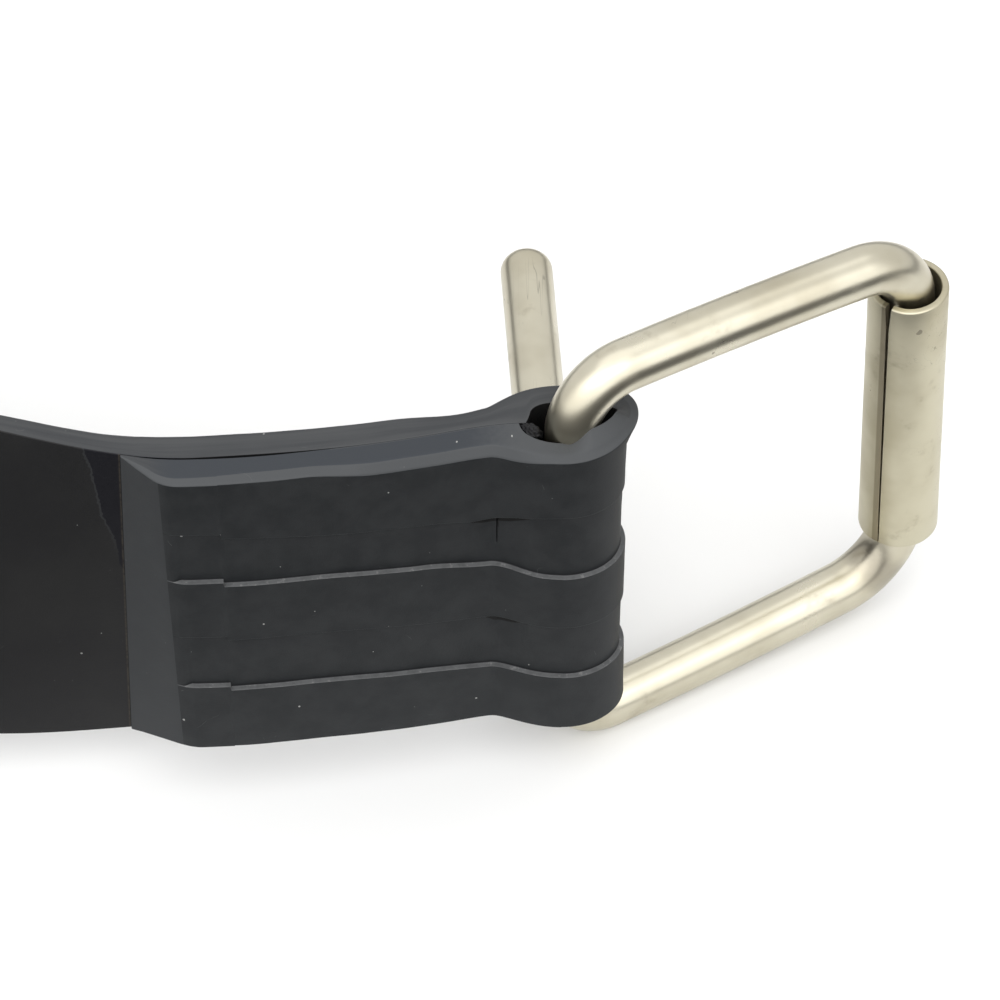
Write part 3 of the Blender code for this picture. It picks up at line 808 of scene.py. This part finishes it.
# ledge is a painted highlight and bevel painted light; dark, gap and the wedge tone beside the flap's end are painted
# shade
rubberTones = {
    "ribbedDark": (0.0118, 0.0132, 0.0146), "ribbedLight": (0.0188, 0.0203, 0.0218),
    "smoothDark": (0.0080, 0.0080, 0.0087), "smoothLight": (0.0112, 0.0112, 0.0114),
    "edgeDark": (0.034, 0.036, 0.039), "edgeLight": (0.050, 0.052, 0.054),
    "inset": (0.030, 0.034, 0.040), "chamfer": (0.056, 0.059, 0.062), "bevel": (0.029, 0.031, 0.033),
    "ledge": (0.085, 0.087, 0.089), "dark": (0.006, 0.006, 0.007), "shadeWedge": (0.0035, 0.0035, 0.0060),
    "glue": (0.050, 0.042, 0.032), "dust": (0.30, 0.30, 0.29), "lump": (0.004, 0.004, 0.005),
    "gap": (0.001, 0.001, 0.001),
}

# places and sizes of the marks, along the strap, in x or up it
rubberMarks = {
    "flapRun": 58 * mm, "bevelRun": 6.6 * mm, "lumpRun": 0.4 * mm, "frontRun": 70 * mm, "besideRun": 160 * mm,
    "insetStart": (4 * mm, 9 * mm), "insetEnd": (47 * mm, 56 * mm), "loopTop": (46 * mm, 70 * mm),
    "seamHighlight": (-31 * mm, -7 * mm), "seamHighlightWide": 0.4 * mm, "shadeFrom": 7 * mm,
    "overhang": 0.3 * mm, "hair": 0.02 * mm,
    "crackRise": (-13.2 * mm, -11.2 * mm), "crackFall": (-8 * mm, -5 * mm), "crackTall": 1.05 * mm,
    "slitRise": (-11.2 * mm, -9.5 * mm), "slitFall": (-8 * mm, -5.5 * mm), "slitTall": 0.75 * mm,
    "nickHalf": 0.12 * mm, "nickTall": 2.6 * mm, "nickWander": 0.15 * mm,
    "shadeWedgeX": -57.6 * mm, "shadeWedgeEnd": -50 * mm, "shadeWedgeLow": 24 * mm, "shadeWedgeSlope": 0.17,
    "rimFade": (30 * mm, 40 * mm), "glueLine": (-58 * mm, -57.8 * mm, 0.08 * mm),
}


def makeStrap():
    rubber = mouldedRubber()
    rings = flapRings() + loopRings() + runRings()
    mesh = skinBetween("foldedStrap", rings)
    mapStrap(mesh, rings)
    faceOutwards(mesh)
    cutters = windowCutters() + tipCutters()
    mesh = bakeModifiers(mesh, [("BOOLEAN", {"operation": "DIFFERENCE", "solver": "EXACT", "object": ob})
                                for ob in cutters])
    tree, ids = punchTree(rubber)
    side, end = tailEnd()
    values = {"Count": strap["holeCount"], "Radius": strap["holeRadius"], "Pitch": strap["holePitch"],
              "First hole": (side - 2 * mm, end + strap["holeToTip"], strap["width"] / 2)}
    settings = {"node_group": tree, **{ids[name]: value for name, value in values.items()}}
    mesh = bakeModifiers(mesh, [("NODES", settings)])
    mesh = joinMeshes("foldedStrap", [mesh, tornLump()])
    mesh.materials.clear()
    mesh.materials.append(rubber)
    mesh.set_sharp_from_angle(angle=math.radians(40))
    for ob in cutters:
        bpy.data.objects.remove(ob)
    linkPiece("foldedStrap", mesh, "strap", "strap")
    print("strap made:", len(mesh.polygons), "faces")


# buckle frame
wire = {
    "radius": 3.5 * mm,
    "yaw": 31.0,
    "reach": 51.4 * mm,
    "halfBar": 31.85 * mm,
    "halfRoller": 29.25 * mm,
    "middle": 35.05 * mm,
    "bendUnder": 6.0 * mm, "bendBar": 7.8 * mm, "bendHigh": 8.2 * mm, "bendLow": 9.8 * mm,
    "bow": 0.5 * mm,
    "slim": 0.94, "flare": 0.12, "flareTaper": 1.6, "flareHeight": (58 * mm, 68 * mm),  # the upper arm is fuller
    "buttDepth": 0.26,
    "buttWidth": 0.55 * mm,
    "points": 900,
    "sides": 56,
}


def wirePoint(reach, height):
    yaw = math.radians(wire["yaw"])
    return Vector((reach * math.cos(yaw), reach * math.sin(yaw), wire["middle"] + height))


def wireCorners():
    return [wirePoint(0, -wire["halfBar"]), wirePoint(0, wire["halfBar"]),
            wirePoint(wire["reach"], wire["halfRoller"]), wirePoint(wire["reach"], -wire["halfRoller"])]


def bentLoop(corners, radii, steps):
    # rounded four-sided loop; the two arms bow outwards a little
    points = []
    for i, (corner, radius) in enumerate(zip(corners, radii)):
        before = (corners[i - 1] - corner).normalized()
        after = (corners[(i + 1) % len(corners)] - corner).normalized()
        half = before.angle(after) / 2
        centre = corner + (before + after).normalized() * radius / math.sin(half)
        start = corner + before * radius / math.tan(half) - centre
        end = corner + after * radius / math.tan(half) - centre
        turn = start.angle(end)
        bend = [centre + (start * math.sin(turn - a) + end * math.sin(a)) / math.sin(turn)
                for a in (turn * k / steps for k in range(steps + 1))]
        if points:
            points += [points[-1].lerp(bend[0], k / steps) for k in range(1, steps)]
        points += bend
    points += [points[-1].lerp(points[0], k / steps) for k in range(1, steps)]
    for point in points:
        share = min(1.0, max(0.0, math.hypot(point.x, point.y) / wire["reach"]))
        side = max(-1.0, min(1.0, (point.z - wire["middle"]) / wire["halfRoller"]))
        point.z += wire["bow"] * 4 * share * (1 - share) * side
    return points


def sweepTree(material):
    # round wire along an edge loop, with a groove at the butt joint
    tree, ids, source = startTree("sweepWire", {
        "Wire radius": "Float", "Points": "Int", "Sides": "Int",
        "Butt place": "Vector", "Butt width": "Float", "Butt depth": "Float"})
    nodes, links = tree.nodes, tree.links
    path = nodes.new("GeometryNodeMeshToCurve")
    links.new(source.outputs["Geometry"], path.inputs["Mesh"])
    even = nodes.new("GeometryNodeResampleCurve")
    links.new(path.outputs[0], even.inputs["Curve"])
    links.new(source.outputs["Points"], even.inputs["Count"])
    where = nodes.new("GeometryNodeInputPosition")
    apart = nodes.new("ShaderNodeVectorMath")
    apart.operation = "DISTANCE"
    links.new(where.outputs[0], apart.inputs[0])
    links.new(source.outputs["Butt place"], apart.inputs[1])

    def maths(operation, a, b):
        made = nodes.new("ShaderNodeMath")
        made.operation = operation
        for socket, value in zip(made.inputs, (a, b)):
            if isinstance(value, (int, float)):
                socket.default_value = value
            else:
                links.new(value, socket)
        return made.outputs[0]

    share = maths("DIVIDE", apart.outputs["Value"], source.outputs["Butt width"])
    fade = maths("POWER", 2.718, maths("MULTIPLY", maths("MULTIPLY", share, share), -1.0))
    groove = maths("SUBTRACT", 1.0, maths("MULTIPLY", fade, source.outputs["Butt depth"]))
    split = nodes.new("ShaderNodeSeparateXYZ")
    links.new(where.outputs[0], split.inputs[0])
    upper = nodes.new("ShaderNodeMapRange")
    upper.interpolation_type = "SMOOTHSTEP"
    links.new(split.outputs["Z"], upper.inputs["Value"])
    upper.inputs["From Min"].default_value, upper.inputs["From Max"].default_value = wire["flareHeight"]
    taper = maths("SUBTRACT", wire["flare"], maths("MULTIPLY", split.outputs["X"], wire["flareTaper"]))
    scale = maths("MULTIPLY", groove, maths("ADD", wire["slim"], maths("MULTIPLY", upper.outputs[0], taper)))
    thick = nodes.new("GeometryNodeSetCurveRadius")
    links.new(even.outputs[0], thick.inputs["Curve"])
    links.new(scale, thick.inputs["Radius"])
    circle = nodes.new("GeometryNodeCurvePrimitiveCircle")
    links.new(source.outputs["Sides"], circle.inputs["Resolution"])
    links.new(source.outputs["Wire radius"], circle.inputs["Radius"])
    skin = nodes.new("GeometryNodeCurveToMesh")
    links.new(thick.outputs[0], skin.inputs["Curve"])
    links.new(circle.outputs[0], skin.inputs["Profile Curve"])
    endTree(tree, skin.outputs[0], material)
    return tree, ids


steelTones = {
    "stain": (0.33, 0.29, 0.22), "pit": (0.14, 0.12, 0.10), "scratch": (0.22, 0.20, 0.17),
    "buttShade": (0.17, 0.15, 0.13), "cutEdge": (0.27, 0.235, 0.165), "cloud": (0.80, 0.78, 0.74),
}


def satinSteel(name, tone=(0.60, 0.565, 0.455), worn=0.0, matt=0.0, butt=None, slit=None):
    sheet = Sheet(name)
    spot = sheet.place()
    clouds = sheet.noise(spot, 90, 3, 0.55)
    stain = sheet.noise(spot, 210, 4, 0.6)
    dark = tuple(c * f for c, f in zip(tone, steelTones["cloud"]))
    colour = sheet.mix(clouds.ramp(0.35, 0.75), tone, dark)
    colour = sheet.mix(stain.ramp(0.60, 0.76) * (0.35 + worn), colour, steelTones["stain"])
    pits = sheet.flecks(spot, 330, 0.12, 0.05 + worn * 0.1)
    colour = sheet.mix(pits * 0.55, colour, steelTones["pit"])
    slant = sheet.node("ShaderNodeMapping", None, {"Vector": spot, "Rotation": (0.2, 0.5, 1.1), "Scale": (1, 0.05, 1)})
    hair = sheet.noise(slant, 900, 1, 0.4)
    scratch = hair.between(0.496, 0.504, 0.002) * sheet.noise(spot, 70, 2).ramp(0.55, 0.62)
    colour = sheet.mix(scratch * 0.45, colour, steelTones["scratch"])
    if butt:
        # painted shade darkening the butt joint and the wire round it
        away = sheet.node("ShaderNodeVectorMath", {"operation": "DISTANCE"}, {0: spot, 1: butt}, take=1)
        ragged = away + (stain - 0.5) * (1.6 * mm)
        colour = sheet.mix((1 - ragged.ramp(3.4 * mm, 5.2 * mm)) * 0.45, colour, steelTones["buttShade"])
    if slit:
        # the cut edge of the sheet, browner than the rest
        rightX, rightY, start, middle = slit
        x, y = sheet.split(spot, 0), sheet.split(spot, 1)
        across = x * rightX + y * rightY - start
        facing = (y * rightX - x * rightY) < middle
        band = across.between(-mm, 0.05 * mm, 0.12 * mm) * facing
        colour = sheet.mix(band * 0.8, colour, steelTones["cutEdge"])
    rough = 0.24 + matt + clouds * 0.10 + stain.ramp(0.5, 0.8) * 0.12 + scratch * 0.1
    grain = sheet.noise(spot, 3600, 2, 0.6)
    relief = grain * 0.5 + clouds * 0.4 - pits - scratch
    bumped = sheet.node("ShaderNodeBump", None, {"Strength": 0.12, "Distance": 0.1 * mm, "Height": relief})
    return sheet.finish(Base_Color=colour, Metallic=1.0, Roughness=rough, Normal=bumped)


def makeWire():
    steps = 24
    points = bentLoop(wireCorners(), [wire[key] for key in ("bendUnder", "bendBar", "bendHigh", "bendLow")], steps)
    butt = points[round(6.58 * steps)]  # just under the roller
    mesh = bpy.data.meshes.new("wirePath")
    mesh.from_pydata(points, [(i, (i + 1) % len(points)) for i in range(len(points))], [])
    steel = satinSteel("satinWire", butt=butt)
    tree, ids = sweepTree(steel)
    values = {"Wire radius": wire["radius"], "Points": wire["points"], "Sides": wire["sides"],
              "Butt place": butt, "Butt width": wire["buttWidth"],
              "Butt depth": wire["buttDepth"]}
    mesh = bakeModifiers(mesh, [("NODES", {"node_group": tree, **{ids[k]: v for k, v in values.items()}})])
    mesh.name = "bentWire"
    faceOutwards(mesh)
    linkPiece("bentWire", mesh, "frame", "buckle_frame")
    print("wire made:", len(mesh.polygons), "faces")


# roller
sleeve = {
    "radius": 5.3 * mm, "wall": 0.95 * mm, "length": 44.9 * mm, "middle": 36.05 * mm,
    "gapTop": 0.46 * mm, "gapLow": 0.18 * mm, "seam": -122.6, "edge": 0.3 * mm, "steps": 180,
}


def makeSleeve():
    axis = wirePoint(wire["reach"], 0)
    seam = math.radians(sleeve["seam"])
    cos, sin = math.cos(seam), math.sin(seam)
    steel = satinSteel("satinSleeve", (0.57, 0.535, 0.41), 0.15, 0.16,
                       slit=(-sin, cos, axis.y * cos - axis.x * sin, -axis.x * cos - axis.y * sin))
    half, edge, outer = sleeve["length"] / 2, sleeve["edge"], sleeve["radius"]
    inner = outer - sleeve["wall"]
    profile = [(inner + 0.1 * mm, -half), (outer - edge, -half)]
    profile += [(outer - edge + edge * math.sin(a), -half + edge - edge * math.cos(a)) for a in (0.5, 1.05)]
    profile += [(outer, -half + edge)] + [(outer, -half + edge + (2 * half - 2 * edge) * k / 12) for k in range(1, 12)]
    profile += [(outer, half - edge)]
    profile += [(outer - edge + edge * math.cos(a), half - edge + edge * math.sin(a)) for a in (0.5, 1.05)]
    profile += [(outer - edge, half), (inner + 0.1 * mm, half), (inner, half - 0.1 * mm), (inner, 0.1 * mm - half)]
    axis.z = sleeve["middle"]
    rings = []
    steps = sleeve["steps"]
    for i in range(steps + 1):
        ring = []
        for r, z in profile:
            t = (z + half) / (2 * half)
            gap = (sleeve["gapLow"] + (sleeve["gapTop"] - sleeve["gapLow"]) * t) / outer
            gap += 0.5 * mm / outer * smoothStep(t, 0.975, 1.0)
            curl = 0.12 * mm * (hump(i, 0, 7) + hump(i, steps, 7))
            a = math.radians(sleeve["seam"]) + gap / 2 + (2 * math.pi - gap) * i / steps
            reach = r - curl + 0.02 * mm * ripple(a * 3, z * 120)
            ring.append(axis + Vector((math.cos(a) * reach, math.sin(a) * reach, z)))
        rings.append(ring)
    mesh = skinBetween("splitSleeve", rings)
    faceOutwards(mesh)
    mesh.materials.append(steel)
    linkPiece("splitSleeve", mesh, "roller", "roller")
    print("sleeve made:", len(mesh.polygons), "faces")


# tongue
tongue = {
    "yaw": 93.7, "length": 54.4 * mm, "offset": 2.3 * mm, "height": 35.2 * mm,
    "radius": 3.5 * mm, "eyeInner": 3.8 * mm, "eyeThick": 1.5 * mm, "eyeHigh": 8.0 * mm, "sweep": 290.0,
    "flatEnd": 4.0 * mm, "roundStart": 14.0 * mm, "tipRound": 2.6 * mm,
}


def prongRing(centre, across, halfAcross, halfHigh, power):
    ring = []
    for i in range(48):
        a = 2 * math.pi * i / 48
        cos, sin = math.cos(a), math.sin(a)
        x = halfAcross * math.copysign(abs(cos) ** power, cos)
        z = halfHigh * math.copysign(abs(sin) ** power, sin)
        ring.append(centre + across * x + Vector((0, 0, z)))
    return ring


def makeTongue():
    steel = satinSteel("satinTongue")
    right, mean = Vector((1, 0, 0)), tongue["eyeInner"] + tongue["eyeThick"] / 2
    rings = []
    for k in range(13):
        a = math.pi / 2 * (1 - k / 12)
        y = tongue["length"] - tongue["tipRound"] * (1 - math.sin(a))
        size = tongue["radius"] - tongue["tipRound"] * (1 - math.cos(a))
        rings.append(prongRing(Vector((-tongue["offset"], y, 0)), right, size, size, 1))
    for y in span(tongue["length"] - tongue["tipRound"] - mm, tongue["roundStart"], 16):
        rings.append(prongRing(Vector((-tongue["offset"], y, 0)), right, tongue["radius"], tongue["radius"], 1))
    for k in range(21):
        y = tongue["roundStart"] + (tongue["flatEnd"] - tongue["roundStart"]) * k / 20
        t = smoothStep(k, 0, 20)
        centre = Vector((-tongue["offset"] - (mean - tongue["offset"]) * t, y, 0))
        half = tongue["radius"] + (tongue["eyeThick"] / 2 - tongue["radius"]) * t
        high = tongue["radius"] + (tongue["eyeHigh"] / 2 - tongue["radius"]) * t
        rings.append(prongRing(centre, right, half, high, 1 - 0.65 * t))
    for k in range(61):
        a = math.radians(180 + tongue["sweep"] * k / 60)
        ray = Vector((math.cos(a), math.sin(a), 0))
        rings.append(prongRing(ray * mean, -ray, tongue["eyeThick"] / 2, tongue["eyeHigh"] / 2, 0.35))
    turn = math.radians(tongue["yaw"] - 90)
    cos, sin = math.cos(turn), math.sin(turn)
    rings = [[Vector((p.x * cos - p.y * sin, p.x * sin + p.y * cos, p.z + tongue["height"])) for p in ring]
             for ring in rings]
    mesh = skinBetween("wireTongue", rings)
    faceOutwards(mesh)
    mesh.materials.append(steel)
    linkPiece("wireTongue", mesh, "tongue", "tongue")
    print("tongue made:", len(mesh.polygons), "faces")


setCamera()
layFloor()
lightRoom()
makeStrap()
makeWire()
makeSleeve()
makeTongue()
print("all pieces in place")
